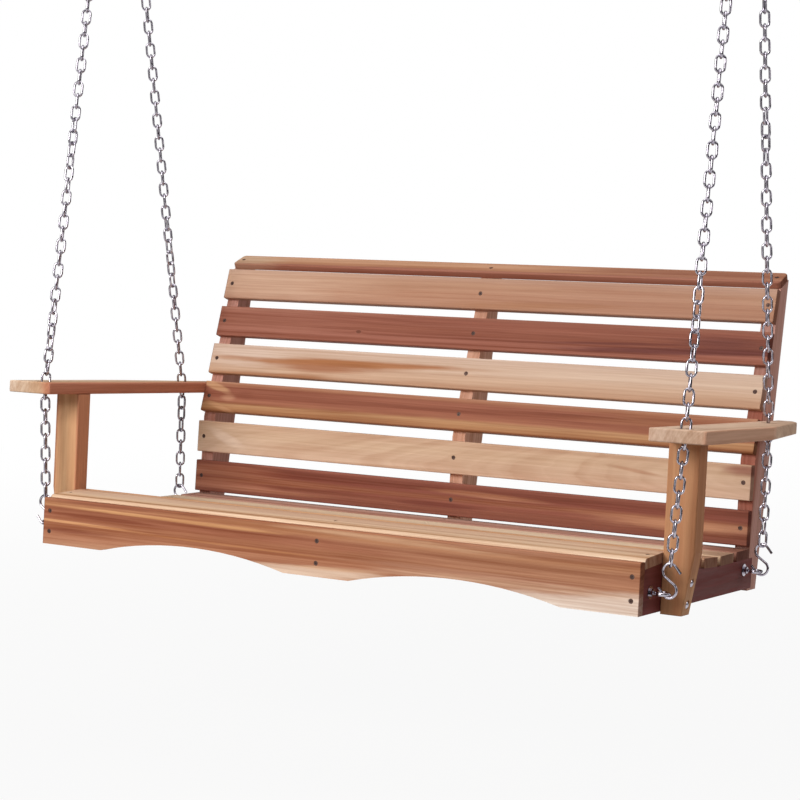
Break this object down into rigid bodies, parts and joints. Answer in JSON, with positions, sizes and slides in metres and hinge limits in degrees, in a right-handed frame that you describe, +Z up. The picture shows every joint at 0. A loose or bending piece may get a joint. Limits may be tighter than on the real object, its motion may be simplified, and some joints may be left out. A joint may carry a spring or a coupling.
{
  "type": "porch swing",
  "caption": "Slatted cedar porch swing bench with armrests, hung by chains from ceiling hooks.",
  "frame": {"origin": "on the ceiling, midway between the two screw hooks", "axes": "+X to the sitter's left, along the bench; +Y from the front of the seat to its back; +Z up; the swing hangs still, leaned back until its weight is under the hooks"},
  "size_m": [1.417, 0.6989, 1.7553],
  "materials": {
    "cedar_tan": "planed, unfinished",
    "cedar_red": "planed, unfinished",
    "cedar_pale": "planed, unfinished",
    "cedar_dark": "planed, unfinished",
    "zinc_plated_steel": "bright zinc plating",
    "screw_steel": "satin"
  },
  "bodies": {
    "ceiling_hooks": {"ceiling_hook_left": "zinc_plated_steel", "ceiling_hook_right": "zinc_plated_steel"},
    "swing": {"apron_screws": "screw_steel", "arm_brace_screws": "screw_steel", "arm_post_left": "cedar_tan", "arm_post_right": "cedar_tan", "armrest_left": "cedar_pale", "armrest_right": "cedar_tan", "armrest_screws": "screw_steel", "back_slat_1": "cedar_tan", "back_slat_2": "cedar_dark", "back_slat_3": "cedar_pale", "back_slat_4": "cedar_red", "back_slat_5": "cedar_pale", "back_slat_6": "cedar_dark", "back_slat_screws": "screw_steel", "back_upright_centre": "cedar_pale", "back_upright_left": "cedar_red", "back_upright_right": "cedar_red", "cap_screws": "screw_steel", "chain_front_left": "zinc_plated_steel", "chain_front_right": "zinc_plated_steel", "chain_rear_left": "zinc_plated_steel", "chain_rear_right": "zinc_plated_steel", "eye_bolt_front_left": "zinc_plated_steel", "eye_bolt_front_right": "zinc_plated_steel", "eye_bolt_nuts": "zinc_plated_steel", "eye_bolt_rear_left": "zinc_plated_steel", "eye_bolt_rear_right": "zinc_plated_steel", "eye_bolt_washers": "zinc_plated_steel", "front_apron": "cedar_red", "hanging_ring_left": "zinc_plated_steel", "hanging_ring_right": "zinc_plated_steel", "lap_screws": "screw_steel", "post_bolt_nuts": "zinc_plated_steel", "post_bolt_washers": "zinc_plated_steel", "post_bolts": "zinc_plated_steel", "s_hook_front_left": "zinc_plated_steel", "s_hook_front_right": "zinc_plated_steel", "s_hook_rear_left": "zinc_plated_steel", "s_hook_rear_right": "zinc_plated_steel", "seat_rail_centre": "cedar_dark", "seat_rail_left": "cedar_dark", "seat_rail_right": "cedar_dark", "seat_slat_1": "cedar_tan", "seat_slat_2": "cedar_tan", "seat_slat_3": "cedar_tan", "seat_slat_4": "cedar_pale", "seat_slat_5": "cedar_pale", "seat_slat_6": "cedar_red", "seat_slat_screws": "screw_steel", "top_cap": "cedar_tan"}
  },
  "joints": [
    {"name": "swing", "type": "hinge", "parent": "ceiling_hooks", "child": "swing", "pos_m": [0, 0, -0.05958], "axis": [1, 0, 0], "range_deg": [-25, 25]}
  ]
}
